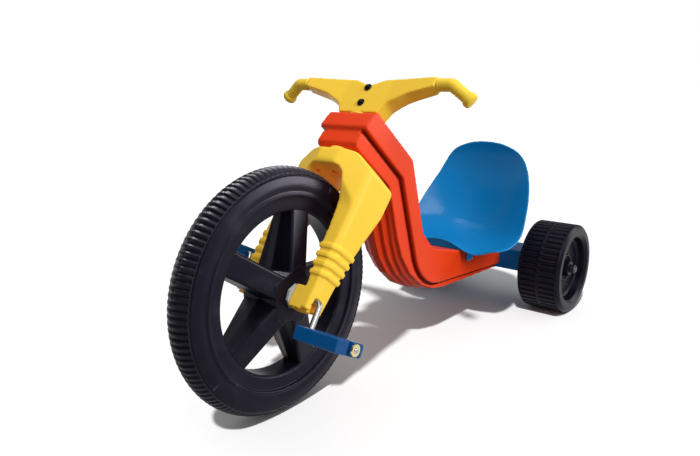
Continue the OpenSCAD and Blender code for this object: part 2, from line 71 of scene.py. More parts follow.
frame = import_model()
JOINTS = {joint["name"]: joint for joint in frame["joints"]}
HUB = Vector(JOINTS["front_wheel_spin"]["pos_m"])
REAR = Vector(JOINTS["left_rear_spin"]["pos_m"])
STEER_UP = Vector(JOINTS["steer"]["axis"]).normalized()
DECK_AHEAD = Vector(JOINTS["seat_slide"]["axis"]).normalized()
LEFT = Vector((0, 1, 0))
STEER_AHEAD = LEFT.cross(STEER_UP)
FRONT_R = HUB.z
REAR_R = REAR.z


class TricycleSizes(PropertyGroup):
    """Sizes of the details that the frame leaves plain."""

    tread_ribs: IntProperty(name="Tread ribs", description="Ribs round the front tyre", default=120)
    tread_depth: FloatProperty(
        name="Tread depth", description="Depth of the grooves of the front tyre",
        default=0.0026, unit="LENGTH")
    spokes: IntProperty(name="Spokes", description="Spokes of the front wheel", default=5)
    spoke_lean: FloatProperty(
        name="Spoke lean", description="Turn of the front wheel's top spoke from upright",
        default=math.radians(16), subtype="ANGLE", unit="ROTATION")
    spoke_bevel: FloatProperty(
        name="Spoke bevel", description="Bevel along the edges of each front spoke",
        default=0.003, unit="LENGTH")
    rear_ribs: IntProperty(name="Rear ribs", description="Ribs round each rear wheel", default=48)
    rear_depth: FloatProperty(
        name="Rear rib depth", description="Depth of the grooves of the rear wheels",
        default=0.0030, unit="LENGTH")
    grip_pitch: FloatProperty(
        name="Grip pitch", description="Spacing of the ribs on the handgrips",
        default=0.0062, unit="LENGTH")
    shell_cell: FloatProperty(
        name="Shell cell", description="Cell of the mesh that rounds the moulded shells",
        default=0.0020, unit="LENGTH")
    nubs: IntProperty(name="Nubs", description="Small bumps in the dish of each rear wheel", default=8)


class TricycleColours(PropertyGroup):
    """Colours of the finishes, as they look on a screen."""

    red: FloatVectorProperty(
        name="Frame red", description="Frame plastic",
        default=(0.90, 0.25, 0.085), subtype="COLOR_GAMMA")
    yellow: FloatVectorProperty(
        name="Fork yellow", description="Fork, handlebar and handgrip plastic",
        default=(0.955, 0.80, 0.25), subtype="COLOR_GAMMA")
    blue: FloatVectorProperty(
        name="Seat blue", description="Seat plastic",
        default=(0.07, 0.43, 0.65), subtype="COLOR_GAMMA")
    deep_blue: FloatVectorProperty(
        name="Pedal blue", description="Pedal and axle housing plastic",
        default=(0.042, 0.235, 0.44), subtype="COLOR_GAMMA")
    black: FloatVectorProperty(
        name="Wheel black", description="Wheel plastic",
        default=(0.050, 0.043, 0.080), subtype="COLOR_GAMMA")
    white: FloatVectorProperty(
        name="Bush white", description="Nylon of the hub bushings",
        default=(0.66, 0.66, 0.65), subtype="COLOR_GAMMA")
    steel: FloatVectorProperty(
        name="Steel", description="Plated crank",
        default=(0.66, 0.65, 0.65), subtype="COLOR_GAMMA")
    zinc: FloatVectorProperty(
        name="Zinc", description="Dull rear axle, caps, washers, nuts and screws",
        default=(0.30, 0.30, 0.33), subtype="COLOR_GAMMA")
    brass: FloatVectorProperty(
        name="Ring", description="Keeper rings of the pedals",
        default=(0.86, 0.80, 0.58), subtype="COLOR_GAMMA")
    floor: FloatVectorProperty(
        name="Floor", description="Studio floor",
        default=(0.97, 0.97, 0.97), subtype="COLOR_GAMMA")


class Field:
    """A shader value: arithmetic on it adds Math nodes to its paint."""

    def __init__(self, paint, socket):
        self.paint = paint
        self.socket = socket

    def math(self, operation, first, second):
        return self.paint.node("ShaderNodeMath", {"operation": operation}, {0: first, 1: second})

    def __add__(self, other):
        return self.math("ADD", self, other)

    def __radd__(self, other):
        return self.math("ADD", other, self)

    def __sub__(self, other):
        return self.math("SUBTRACT", self, other)

    def __rsub__(self, other):
        return self.math("SUBTRACT", other, self)

    def __mul__(self, other):
        return self.math("MULTIPLY", self, other)

    def __rmul__(self, other):
        return self.math("MULTIPLY", other, self)


class Paint:
    """Nodes of a material or a world, with textures laid out in the piece's own space."""

    def __init__(self, owner, shader="Principled BSDF"):
        owner.use_nodes = True
        self.owner = owner
        self.nodes = owner.node_tree.nodes
        self.links = owner.node_tree.links
        self.shader = self.nodes[shader]

    def node(self, kind, settings=None, inputs=None, output=0):
        """Adds a node, its settings first, then its sockets' values or links, and gives one output."""
        made = self.nodes.new(kind)
        for key, value in (settings or {}).items():
            setattr(made, key, value)
        self.feed(made, inputs or {})
        return Field(self, made.outputs[output])

    def feed(self, node, inputs):
        for key, value in inputs.items():
            if isinstance(value, Field):
                self.links.new(value.socket, node.inputs[key])
            else:
                node.inputs[key].default_value = value

    def noise(self, scale, detail, stretch=(1, 1, 1)):
        place = self.node("ShaderNodeTexCoord", output="Object")
        drawn = self.node("ShaderNodeMapping", inputs={"Vector": place, "Scale": stretch})
        inputs = {"Vector": drawn, "Scale": scale, "Detail": detail}
        return self.node("ShaderNodeTexNoise", inputs=inputs)

    def spread(self, value, low, high):
        """Stretches the part of a value from low to high over 0 to 1."""
        inputs = {"Value": value, "From Min": low, "From Max": high}
        return self.node("ShaderNodeMapRange", {"clamp": True}, inputs)

    def mix(self, share, first, second):
        """Colour between two colours."""
        inputs = {0: share, 6: first, 7: second}
        return self.node("ShaderNodeMix", {"data_type": "RGBA"}, inputs, output=2)

    def bump(self, height, strength, distance):
        inputs = {"Height": height, "Strength": strength, "Distance": distance}
        return self.node("ShaderNodeBump", inputs=inputs)

    def bend(self, low, high):
        """Share of the way from low to high of how far the surface stands out: 0.5 is flat."""
        return self.spread(self.node("ShaderNodeNewGeometry", output="Pointiness"), low, high)

    def airy(self, reach):
        """Share of the air around a point that its own piece leaves open within reach."""
        settings = {"samples": 6, "only_local": True}
        return self.node("ShaderNodeAmbientOcclusion", settings, {"Distance": reach}, output="AO")

    def creases(self, reach):
        """1 deep in grooves and corners of the piece, 0 where it is open to the air."""
        return self.spread(self.airy(reach), low=0.80, high=0.40)

    def ray(self, kind):
        """1 for rays of a kind, 0 for others."""
        return self.node("ShaderNodeLightPath", output=kind)

    def done(self, **sockets):
        self.feed(self.shader, sockets)
        return self.owner


def linear(colour):
    """Screen colour as the linear RGBA that shaders take."""
    return tuple(c / 12.92 if c <= 0.04045 else ((c + 0.055) / 1.055) ** 2.4 for c in colour) + (1.0,)


def toned(colour, factor):
    """Screen colour made darker or lighter, as linear RGBA."""
    return linear(tuple(min(1.0, c * factor) for c in colour))


def faded(colour, share):
    """Screen colour drawn towards white, as linear RGBA."""
    return linear(tuple(c + (1.0 - c) * share for c in colour))


def moulded_plastic(name, colour, gloss, grain, shade, painted_glow=None):
    """Moulded plastic with drift of tone, paler edges (part wear, part painted highlight), painted shade
    in creases, scuffs and an uneven skin.

    Painted light is emitted from the surface and stands in for light coming through the walls. It has
    one colour out in the open and another in hollows.
    """
    paint = Paint(bpy.data.materials.new(name))
    drift = paint.noise(scale=6.0, detail=3.0)
    scuffs = paint.spread(paint.noise(scale=140.0, detail=8.0), low=0.60, high=0.80)
    edge = paint.bend(low=0.53, high=0.62)
    crease = paint.creases(reach=0.014)
    body = paint.mix(drift, toned(colour, 0.95), toned(colour, 1.03))
    # Painted shade: creases found by occlusion are drawn towards the shade colour.
    crease_shaded = paint.mix(crease * 0.85, body, linear(shade))
    # Paler edges: part wear, part painted highlight.
    edge_wear_and_highlight = paint.mix(edge * 0.45, crease_shaded, faded(colour, 0.14))
    worn = paint.mix(scuffs * 0.02, edge_wear_and_highlight, faded(colour, 0.30))
    skin = paint.noise(scale=22.0, detail=1.0) * 0.6 + paint.noise(scale=900.0, detail=2.0) * grain
    if painted_glow:
        painted_open_light, painted_hollow_light = painted_glow
        air = paint.airy(reach=0.13)
        sheltered = paint.spread(air, low=0.80, high=0.50)
        not_deep = paint.spread(air, low=0.25, high=0.50)
        # Painted light: an emission everywhere, in the open colour out in the open and the hollow colour
        # in sheltered spots that are not deep creases.
        light = paint.mix(sheltered * not_deep * (1.0 - crease), linear(painted_open_light), linear(painted_hollow_light))
        paint.done(**{"Emission Color": light, "Emission Strength": 0.4})
    return paint.done(**{
        "Base Color": worn,
        "Roughness": gloss + scuffs * 0.03 + drift * 0.06,
        "Normal": paint.bump(skin, strength=0.05, distance=0.002),
        "Specular IOR Level": 0.11,
    })


def red_plastic(name, colours):
    """Frame plastic."""
    return moulded_plastic(name, colours.red, gloss=0.22, grain=0.03, shade=(0.30, 0.05, 0.02))


def yellow_plastic(name, colours):
    """Fork and handlebar plastic, with painted orange light glowing from its hollows and faintly in the
    open.
    """
    # Painted light: the emission colours in the open and in hollows.
    painted_glow = ((0.40, 0.19, 0.06), (0.95, 0.46, 0.19))
    return moulded_plastic(
        name, colours.yellow, gloss=0.30, grain=0.05, shade=(0.80, 0.47, 0.10), painted_glow=painted_glow)


def yellow_grip_plastic(name, colours):
    """Handgrip plastic, duller and grainier."""
    return moulded_plastic(name, colours.yellow, gloss=0.42, grain=0.30, shade=(0.60, 0.40, 0.10))


def blue_plastic(name, colours):
    """Seat plastic, with painted light glowing from it as if through its thin walls, a little less in
    hollows.
    """
    # Painted light: the emission colours in the open and in hollows.
    painted_glow = ((0.0, 0.34, 0.53), (0.0, 0.30, 0.40))
    return moulded_plastic(
        name, colours.blue, gloss=0.20, grain=0.03, shade=(0.02, 0.20, 0.36), painted_glow=painted_glow)


def deep_blue_plastic(name, colours):
    """Pedal and axle housing plastic, with painted light glowing from it."""
    # Painted light: the emission colours in the open and in hollows.
    painted_glow = ((0.0, 0.26, 0.42), (0.0, 0.20, 0.34))
    return moulded_plastic(
        name, colours.deep_blue, gloss=0.24, grain=0.10, shade=(0.02, 0.12, 0.30), painted_glow=painted_glow)


def bush_nylon(name, colours):
    """Hub bushing plastic."""
    return moulded_plastic(name, colours.white, gloss=0.45, grain=0.30, shade=(0.5, 0.5, 0.48))


def bolt_black(name, colours):
    """Gloss black of the handlebar bolts."""
    return moulded_plastic(name, (0.05, 0.05, 0.05), gloss=0.16, grain=0.10, shade=(0.01, 0.01, 0.01))


def wheel_plastic(name, colours):
    """Black wheel plastic: satin skin with patches of dust, painted shade in hollows, and paler high
    spots that are part wear and part painted highlight.
    """
    paint = Paint(bpy.data.materials.new(name))
    colour = colours.black
    drift = paint.noise(scale=9.0, detail=4.0)
    rub_and_highlight = paint.bend(low=0.51, high=0.59)
    dust = paint.spread(paint.noise(scale=24.0, detail=5.0), low=0.52, high=0.80)
    body = paint.mix(drift, toned(colour, 0.85), toned(colour, 1.15))
    # Painted shade: hollows found by occlusion are drawn towards a darker black.
    crease_shaded = paint.mix(paint.creases(reach=0.008) * 0.8, body, toned(colour, 0.3))
    # Paler high spots and edges: part wear, part painted highlight.
    high = paint.mix(rub_and_highlight * 0.7, crease_shaded, faded(colour, 0.20))
    dusty = paint.mix(dust * 0.05, high, faded(colour, 0.40))
    skin = paint.noise(scale=40.0, detail=2.0) * 0.5 + paint.noise(scale=850.0, detail=2.0) * 0.5
    return paint.done(**{
        "Base Color": dusty,
        "Roughness": 0.30 + dust * 0.14 + drift * 0.08,
        "Normal": paint.bump(skin, strength=0.10, distance=0.0015),
        "Specular IOR Level": 0.10,
        "Specular Tint": (0.80, 0.74, 1.0, 1.0),
    })


def plated_metal(name, colour, gloss):
    """Plated metal with faint drawing lines and a dulled patch here and there."""
    paint = Paint(bpy.data.materials.new(name))
    lines = paint.noise(scale=420.0, detail=3.0, stretch=(1, 0.05, 1))
    patch = paint.spread(paint.noise(scale=35.0, detail=4.0), low=0.50, high=0.75)
    return paint.done(**{
        "Base Color": paint.mix(patch * 0.5, linear(colour), toned(colour, 0.80)),
        "Metallic": 1.0,
        "Roughness": gloss + patch * 0.14 + lines * 0.05,
        "Normal": paint.bump(lines, strength=0.08, distance=0.0004),
    })


def bright_steel(name, colours):
    """Crank metal."""
    return plated_metal(name, colours.steel, gloss=0.26)


def zinc_steel(name, colours):
    """Metal of the rear axle and the small fasteners."""
    return plated_metal(name, colours.zinc, gloss=0.50)


def ring_metal(name, colours):
    """Metal of the pedals' keeper rings."""
    return plated_metal(name, colours.brass, gloss=0.34)


def finish(maker):
    """Material that a maker gives, made when it is first asked for."""
    name = maker.__name__.replace("_", " ")
    if name not in bpy.data.materials:
        maker(name, bpy.context.scene.tricycle_colours)
    return bpy.data.materials[name]


def steered(ahead, left, up):
    """Point in the steering frame: ahead of the axis, to the left, and up it from the hub."""
    return HUB + STEER_AHEAD * ahead + LEFT * left + STEER_UP * up


def linked(name, data):
    """Object of the scene."""
    made = bpy.data.objects.new(name, data)
    bpy.context.scene.collection.objects.link(made)
    return made


def piece(name, mesh, body, slot, maker, *nodes):
    """Object that rides on a body, wears a finish and stands for nodes."""
    made = linked(name, mesh)
    mesh.materials.clear()
    mesh.materials.append(finish(maker))
    mesh.polygons.foreach_set("use_smooth", [True] * len(mesh.polygons))
    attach(made, body)
    if nodes:
        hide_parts(*nodes)
    return made


def to_mesh(bm, name):
    """Mesh of a bmesh with its faces turned outward."""
    bmesh.ops.recalc_face_normals(bm, faces=bm.faces)
    mesh = bpy.data.meshes.new(name)
    bm.to_mesh(mesh)
    bm.free()
    return mesh


def fused(bm, name, cell, rounds):
    """Mesh of a bmesh, its parts melted together and its edges rounded as a mould leaves them."""
    work = linked("work", to_mesh(bm, name))
    melt = work.modifiers.new("melt", "REMESH")
    melt.mode = "VOXEL"
    melt.voxel_size = cell
    ease = work.modifiers.new("ease", "SMOOTH")
    ease.factor = 0.5
    ease.iterations = rounds
    bpy.context.view_layer.update()
    graph = bpy.context.evaluated_depsgraph_get()
    result = bpy.data.meshes.new_from_object(work.evaluated_get(graph))
    bpy.data.objects.remove(work)
    return result


def eased(mesh, pick, rounds):
    """Draws the points of a mesh that pick chooses towards their neighbours."""
    bm = bmesh.new()
    bm.from_mesh(mesh)
    chosen = [v for v in bm.verts if pick(v.co)]
    every_way = {"use_axis_x": True, "use_axis_y": True, "use_axis_z": True}
    for _ in range(rounds):
        bmesh.ops.smooth_vert(bm, verts=chosen, factor=0.5, **every_way)
    bm.to_mesh(mesh)
    bm.free()


def fine_cell(context):
    """Cell for the shells with finer details."""
    finer = 0.8
    return context.scene.tricycle_sizes.shell_cell * finer


def node_copy(node):
    """Bmesh of a node, its doubled points joined."""
    if node not in frame["nodes"]:
        raise RuntimeError("the frame has no node " + node)
    bm = bmesh.new()
    bm.from_mesh(frame["nodes"][node].data)
    bmesh.ops.remove_doubles(bm, verts=bm.verts, dist=1e-6)
    return bm


def ramp(value, low, high):
    """Share of the way that a value has gone from low to high, from 0 to 1."""
    return max(0.0, min(1.0, (value - low) / (high - low)))


def joined(bm, near, far):
    """Row of faces between two rings of points."""
    count = len(near)
    for i in range(count):
        j = (i + 1) % count
        bm.faces.new((near[i], near[j], far[j], far[i]))


def loft(bm, rings):
    """Closed solid through rings of points, each with as many points as the next."""
    made = [[bm.verts.new(point) for point in ring] for ring in rings]
    for near, far in zip(made, made[1:]):
        joined(bm, near, far)
    bm.faces.new(list(reversed(made[0])))
    bm.faces.new(made[-1])


def prism(bm, outline, low, high, place):
    """Closed prism: place turns (x, y, height) into a point."""
    loft(bm, [[place(x, y, h) for x, y in outline] for h in (low, high)])


def lathe(bm, section, centre, steps, change):
    """Ring about a sideways axis from a closed section of (radius, side).

    change gives what a radius gains at an angle, a radius and a side.
    """
    rings = []
    for k in range(steps):
        angle = 2 * math.pi * k / steps
        ring = []
        for radius, side in section:
            r = radius + change(angle, radius, side)
            ring.append(bm.verts.new(centre + Vector((r * math.sin(angle), side, r * math.cos(angle)))))
        rings.append(ring)
    for near, far in zip(rings, rings[1:] + rings[:1]):
        joined(bm, near, far)


def circle(centre, along, across, radius, sides):
    """Points round a centre, square to along, from across on."""
    other = along.cross(across)
    turns = [2 * math.pi * k / sides for k in range(sides)]
    return [centre + (across * math.cos(t) + other * math.sin(t)) * radius for t in turns]


def dome(bm, place, out, radius, steps=5, sides=16):
    """Closed half ball standing on a face, its top cut a little flat."""
    across = out.orthogonal().normalized()
    top = math.radians(84)
    rings = []
    for k in range(steps + 1):
        tilt = top * k / steps
        centre = place + out * radius * math.sin(tilt)
        rings.append(circle(centre, out, across, radius * math.cos(tilt), sides))
    loft(bm, rings)


def tube(bm, path, radius, sides):
    """Closed round tube along evenly spaced points.

    radius takes the length from the start and the total.
    """
    spacing = (path[1] - path[0]).length
    total = spacing * (len(path) - 1)
    across = (path[1] - path[0]).orthogonal().normalized()
    rings = []
    for i, point in enumerate(path):
        along = (path[min(i + 1, len(path) - 1)] - path[max(i - 1, 0)]).normalized()
        across = (across - along * across.dot(along)).normalized()
        rings.append(circle(point, along, across, radius(i * spacing, total), sides))
    loft(bm, rings)


def rounded_end(length, total, radius, edge):
    """Radius of a rod whose ends are rounded over edge."""
    short = max(0.0, edge - min(length, total - length))
    return radius - edge + math.sqrt(max(0.0, edge * edge - short * short)) if short else radius


def arc(before, corner, after, radius, steps):
    """Points of the arc that rounds a corner between its neighbours."""
    back = (before - corner).normalized()
    ahead = (after - corner).normalized()
    half = back.angle(ahead) / 2
    centre = corner + (back + ahead).normalized() * radius / math.sin(half)
    start = corner + back * radius / math.tan(half) - centre
    end = corner + ahead * radius / math.tan(half) - centre
    return [centre + start.lerp(end, k / steps).normalized() * radius for k in range(steps + 1)]


def rounded(corners, steps):
    """Closed outline through (x, y, radius) corners, each turned into an arc unless its radius is 0."""
    places = [Vector(corner[:2]) for corner in corners]
    outline = []
    for i, place in enumerate(places):
        after = places[(i + 1) % len(places)]
        radius = corners[i][2]
        outline += arc(places[i - 1], place, after, radius, steps) if radius else [place]
    return outline


def divided(outline, longest):
    """Closed outline with its long edges cut into shorter ones."""
    points = []
    for i, point in enumerate(outline):
        after = outline[(i + 1) % len(outline)]
        cuts = max(1, math.ceil((after - point).length / longest))
        points += [point.lerp(after, k / cuts) for k in range(cuts)]
    return points


def filleted(corners, radius, steps=10):
    """Open path through corners with each inner one turned into an arc."""
    path = [corners[0]]
    for before, corner, after in zip(corners, corners[1:], corners[2:]):
        path += arc(before, corner, after, radius, steps)
    return path + [corners[-1]]


def evened(path, step):
    """Points at an even spacing of about step along a path."""
    total = sum((b - a).length for a, b in zip(path, path[1:]))
    count = max(2, round(total / step))
    spacing = total / count
    slack = 1e-9
    points = [path[0]]
    run = 0.0
    for a, b in zip(path, path[1:]):
        length = (b - a).length
        while run + length >= spacing * len(points) - slack and len(points) <= count:
            points.append(a.lerp(b, (spacing * len(points) - run) / length))
        run += length
    return points


class TRICYCLE_OT_frame(Operator):
    """Red frame: the stepped shell with its edges rounded"""

    bl_idname = "tricycle.frame"
    bl_label = "Frame"

    def tail_plate(self, bm):
        """Plate that closes the open tail, behind the axle housing's spigot."""
        low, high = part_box("frame_shell")
        right = low.y * 0.8
        left = high.y * 0.8
        top = REAR_R + 0.02
        back = low.x + 0.001
        front = low.x + 0.006
        plate = [(right, low.z), (left, low.z), (left, top), (right, top)]
        prism(bm, plate, back, front, lambda y, z, x: Vector((x, y, z)))

    def execute(self, context):
        bm = node_copy("frame_shell")
        self.tail_plate(bm)
        mesh = fused(bm, "frame", context.scene.tricycle_sizes.shell_cell, rounds=4)
        piece("frame_body", mesh, "frame", "red_plastic", red_plastic, "frame_shell")
        return {"FINISHED"}


class TRICYCLE_OT_fork(Operator):
    """Yellow fork with its ribbed legs, and the keepers under the axle"""

    bl_idname = "tricycle.fork"
    bl_label = "Fork"

    def execute(self, context):
        ribs_end = 0.115
        mesh = fused(node_copy("fork"), "fork", fine_cell(context), rounds=3)
        eased(mesh, lambda point: (point - HUB).dot(STEER_UP) > ribs_end, rounds=12)
        piece("fork_body", mesh, "steering", "yellow_plastic", yellow_plastic, "fork")
        keepers = fused(node_copy("axle_keepers"), "keepers", cell=0.0009, rounds=2)
        piece("keeper_blocks", keepers, "steering", "yellow_plastic", yellow_plastic, "axle_keepers")
        return {"FINISHED"}


class TRICYCLE_OT_handlebar(Operator):
    """Yellow handlebar in two wings"""

    bl_idname = "tricycle.handlebar"
    bl_label = "Handlebar"

    def execute(self, context):
        mesh = fused(node_copy("handlebar"), "handlebar", fine_cell(context), rounds=20)
        piece("bar_body", mesh, "steering", "yellow_plastic", yellow_plastic, "handlebar")
        return {"FINISHED"}


class TRICYCLE_OT_grips(Operator):
    """Bent handgrips with ribs on the part that is held"""

    bl_idname = "tricycle.grips"
    bl_label = "Handgrips"
    radius = 0.0110
    straight = 0.027
    reach = 0.063
    ahead = 0.018
    sink = 0.013
    end_ahead = -0.002
    end_sink = 0.032
    bend = 0.012
    rib_depth = 0.0010
    knob = 0.0025
    knob_length = 0.009
    collar = 0.0007

    def swell(self, length, total, pitch):
        """Radius of a grip: a collar at the bar, ribs where it is held, and a knob at its end."""
        left = total - length
        held_start = self.straight + 0.006
        held_end = self.knob_length + 0.003
        held = min(ramp(length, held_start, held_start + 0.004), ramp(left, held_end, held_end + 0.003))
        rib = self.rib_depth * held * (math.cos(2 * math.pi * length / pitch) - 1) / 2
        flare = self.knob * ramp(left, self.knob_length + 0.004, self.knob_length)
        collar = self.collar * ramp(abs(length - 0.003), 0.002, 0.0)
        return rounded_end(length, total, self.radius + rib + flare + collar, edge=0.004)

    def execute(self, context):
        pitch = context.scene.tricycle_sizes.grip_pitch
        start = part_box("left_grip")[0].y
        top = max((v.co - HUB).dot(STEER_UP) for v in frame["nodes"]["handlebar"].data.vertices)
        for side, name in ((1, "left_grip"), (-1, "right_grip")):
            seam = steered(self.ahead, side * start, top - self.sink)
            elbow = steered(self.ahead, side * (start + self.straight), top - self.sink)
            end = steered(self.end_ahead, side * (start + self.reach), top - self.end_sink)
            path = evened(filleted([seam, elbow, end], self.bend), step=0.0008)
            bm = bmesh.new()
            tube(bm, path, lambda length, total: self.swell(length, total, pitch), sides=40)
            mesh = to_mesh(bm, name)
            piece(name + "_cover", mesh, "steering", "yellow_grip", yellow_grip_plastic, name)
        return {"FINISHED"}


class TRICYCLE_OT_front_wheel(Operator):
    """Front wheel: ribbed tyre with a stepped flange, and tapering spokes on a five-sided hub"""

    bl_idname = "tricycle.front_wheel"
    bl_label = "Front wheel"
    opening = 0.655 * FRONT_R
    half = 0.027
    tread = half - 0.003
    drop = 0.048 * FRONT_R
    shoulder = FRONT_R - drop
    step = 0.769 * FRONT_R
    rib_steps = 8
    core = 0.004
    hub_flat = 0.040
    rim_face = 0.020
    rim_overlap = 0.003

    def section(self):
        """Closed outline of the tyre as (radius, side), from the tread round both walls."""
        half, tread = self.half, self.tread
        shoulder, step, opening = self.shoulder, self.step, self.opening
        cuts = 16
        shares = [t / cuts for t in range(1 - cuts, cuts)]
        crown = [(FRONT_R - self.drop * share ** 2, tread * share, 0) for share in shares]
        wall = [
            (shoulder, tread, 0.0012), (shoulder - 0.0030, tread - 0.0016, 0.0010),
            (shoulder - 0.0050, tread + 0.0008, 0.0012), (0.86 * FRONT_R, half, 0.030),
            (step + 0.0085, half - 0.0012, 0.006), (step + 0.0050, half + 0.0004, 0.0016),
            (step + 0.0018, half + 0.0002, 0.0014), (step, tread - 0.0012, 0.0014),
            (opening + 0.0035, tread - 0.0022, 0.0024), (opening, tread - 0.0055, 0.0024)]
        outline = crown + wall + [(r, -side, e) for r, side, e in reversed(wall)]
        return [(p.x, p.y) for p in divided(rounded(outline, steps=3), longest=0.012)]

    def groove(self, phase, side):
        """Share of the grooves' depth at a phase round the tyre and a place across it."""
        wave = ramp(math.cos(phase), 0.25, -0.45)
        ends = ramp(abs(side), self.tread + 0.0006, self.tread - 0.0024)
        middle = 0.4 * ramp(abs(side), 0.0024, 0.0)
        return max(wave * ends, middle)

    def tyre(self, sizes):
        tread_start = self.shoulder - 0.0004

        def change(angle, radius, side):
            if radius <= tread_start:
                return 0.0
            return -sizes.tread_depth * self.groove(sizes.tread_ribs * angle, side)

        bm = bmesh.new()
        lathe(bm, self.section(), HUB, sizes.tread_ribs * self.rib_steps, change)
        mesh = to_mesh(bm, "front_tyre")
        piece("front_tyre", mesh, "drive", "black_plastic", wheel_plastic, "front_wheel")

    def half_width(self, side):
        """Half of a spoke's width at a distance from the parting plane."""
        first, middle, last = (0.0, 0.0235), (0.020, 0.0195), (0.054, 0.0175)
        (low, wide), (high, narrow) = (first, middle) if side <= middle[0] else (middle, last)
        return wide + (narrow - wide) * (side - low) / (high - low)

    def spoke_ring(self, face, bevel):
        """Section of a spoke whose faces stand at face from the parting plane, as (across, side)."""
        lower = face - bevel
        quarter = [(self.half_width(side), side) for side in (0.0, lower / 2, lower)]
        quarter.append((self.half_width(face) - bevel, face))
        right = [(x, -y) for x, y in reversed(quarter[1:])] + quarter
        return right + [(-x, y) for x, y in reversed(right)]

    def spokes(self, sizes):
        hub_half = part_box("front_wheel")[1].y
        rim = self.opening + self.rim_overlap
        stations = ((self.core, hub_half), (self.hub_flat, hub_half), (rim, self.rim_face))
        turns = [2 * math.pi * k / sizes.spokes - sizes.spoke_lean for k in range(sizes.spokes)]
        bm = bmesh.new()
        for turn in turns:
            out = Vector((math.sin(turn), 0, math.cos(turn)))
            across = out.cross(LEFT)
            rings = []
            for r, face in stations:
                ring = self.spoke_ring(face, sizes.spoke_bevel)
                rings.append([HUB + out * r + across * x + LEFT * y for x, y in ring])
            loft(bm, rings)
        corner = self.hub_flat / math.cos(math.pi / sizes.spokes)
        hub = [(corner * math.sin(t), corner * math.cos(t)) for t in turns]
        prism(bm, hub, -hub_half, hub_half, lambda x, z, y: HUB + Vector((x, y, z)))
        mesh = fused(bm, "spokes", cell=0.0013, rounds=1)
        piece("front_spokes", mesh, "drive", "black_plastic", wheel_plastic)

    def execute(self, context):
        sizes = context.scene.tricycle_sizes
        self.tyre(sizes)
        self.spokes(sizes)
        return {"FINISHED"}


class TRICYCLE_OT_rear_wheels(Operator):
    """Wide rear wheels with two rows of ribs and a dished face"""

    bl_idname = "tricycle.rear_wheels"
    bl_label = "Rear wheels"
    dish = 0.68 * REAR_R
    bore = 0.0062
    rib_steps = 10
    nub = 0.0034
    nub_ring = 0.052

    def section(self, half):
        """Closed outline of the wheel as (radius, side), its dished face towards plus."""
        bore, dish = self.bore, self.dish
        outline = [
            (bore, -half, 0), (0.018, -half, 0.002), (0.020, -half + 0.004, 0.002),
            (REAR_R - 0.008, -half + 0.002, 0.005), (REAR_R, -half + 0.006, 0.005),
            (REAR_R, half - 0.006, 0.005), (REAR_R - 0.008, half, 0.005),
            (dish + 0.012, half, 0.004), (dish + 0.004, half - 0.006, 0.003),
            (dish, half - 0.024, 0.008), (0.034, half - 0.025, 0.002), (0.032, half - 0.021, 0.002),
            (0.028, half - 0.021, 0.002), (0.026, half - 0.026, 0.002), (0.022, half - 0.027, 0.003),
            (0.017, half - 0.011, 0.002), (bore, half - 0.010, 0)]
        return [(p.x, p.y) for p in divided(rounded(outline, steps=6), longest=0.0022)]

    def groove(self, phase, side, half):
        """Share of the grooves' depth at a phase round the wheel and a place across it."""
        wave = ramp(math.cos(phase), 0.05, 0.50)
        ends = ramp(abs(side), half - 0.008, half - 0.011)
        line = ramp(abs(side), 0.0025, 0.0045)
        return wave * ends * line

    def execute(self, context):
        sizes = context.scene.tricycle_sizes
        low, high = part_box("left_rear_wheel")
        half = (high.y - low.y) / 2
        nub_side = half - 0.0255
        tread_start = REAR_R - 0.003
        section = self.section(half)

        def change(angle, radius, side):
            if radius <= tread_start:
                return 0.0
            return -sizes.rear_depth * self.groove(sizes.rear_ribs * angle, side, half)

        for sign, name in ((1, "left_rear_wheel"), (-1, "right_rear_wheel")):
            centre = Vector((REAR.x, sign * REAR.y, REAR.z))
            bm = bmesh.new()
            sided = [(r, sign * side) for r, side in section]
            lathe(bm, sided, centre, sizes.rear_ribs * self.rib_steps, change)
            for k in range(sizes.nubs):
                turn = 2 * math.pi * (k + 0.5) / sizes.nubs
                out = Vector((math.sin(turn), 0, math.cos(turn)))
                place = centre + out * self.nub_ring + LEFT * sign * nub_side
                dome(bm, place, LEFT * sign, self.nub)
            piece(name + "_tyre", to_mesh(bm, name), name, "black_plastic", wheel_plastic, name)
        return {"FINISHED"}


class TRICYCLE_OT_crank(Operator):
    """Bent steel rod that is the front axle and both cranks"""

    bl_idname = "tricycle.crank"
    bl_label = "Crank"
    rod = 0.0048
    bend = 0.009
    arm_side = 0.093
    pin_side = 0.102

    def execute(self, context):
        left = Vector(JOINTS["left_pedal_spin"]["pos_m"])
        right = Vector(JOINTS["right_pedal_spin"]["pos_m"])
        low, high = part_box("pedal_crank")
        corners = [
            Vector((right.x, low.y, right.z)), Vector((right.x, -self.pin_side, right.z)),
            HUB - LEFT * self.arm_side, HUB + LEFT * self.arm_side,
            Vector((left.x, self.pin_side, left.z)), Vector((left.x, high.y, left.z))]
        path = evened(filleted(corners, self.bend), step=0.002)
        bm = bmesh.new()
        tube(bm, path, lambda length, total: rounded_end(length, total, self.rod, edge=0.0015), sides=24)
        mesh = to_mesh(bm, "crank_rod")
        piece("crank_rod", mesh, "drive", "bright_steel", bright_steel, "pedal_crank")
        return {"FINISHED"}


class TRICYCLE_OT_pedals(Operator):
    """Blue pedal blocks"""

    bl_idname = "tricycle.pedals"
    bl_label = "Pedals"

    def execute(self, context):
        for name in ("left_pedal", "right_pedal"):
            mesh = fused(node_copy(name), name, cell=0.0008, rounds=2)
            piece(name + "_block", mesh, name, "blue_plastic", deep_blue_plastic, name)
        return {"FINISHED"}


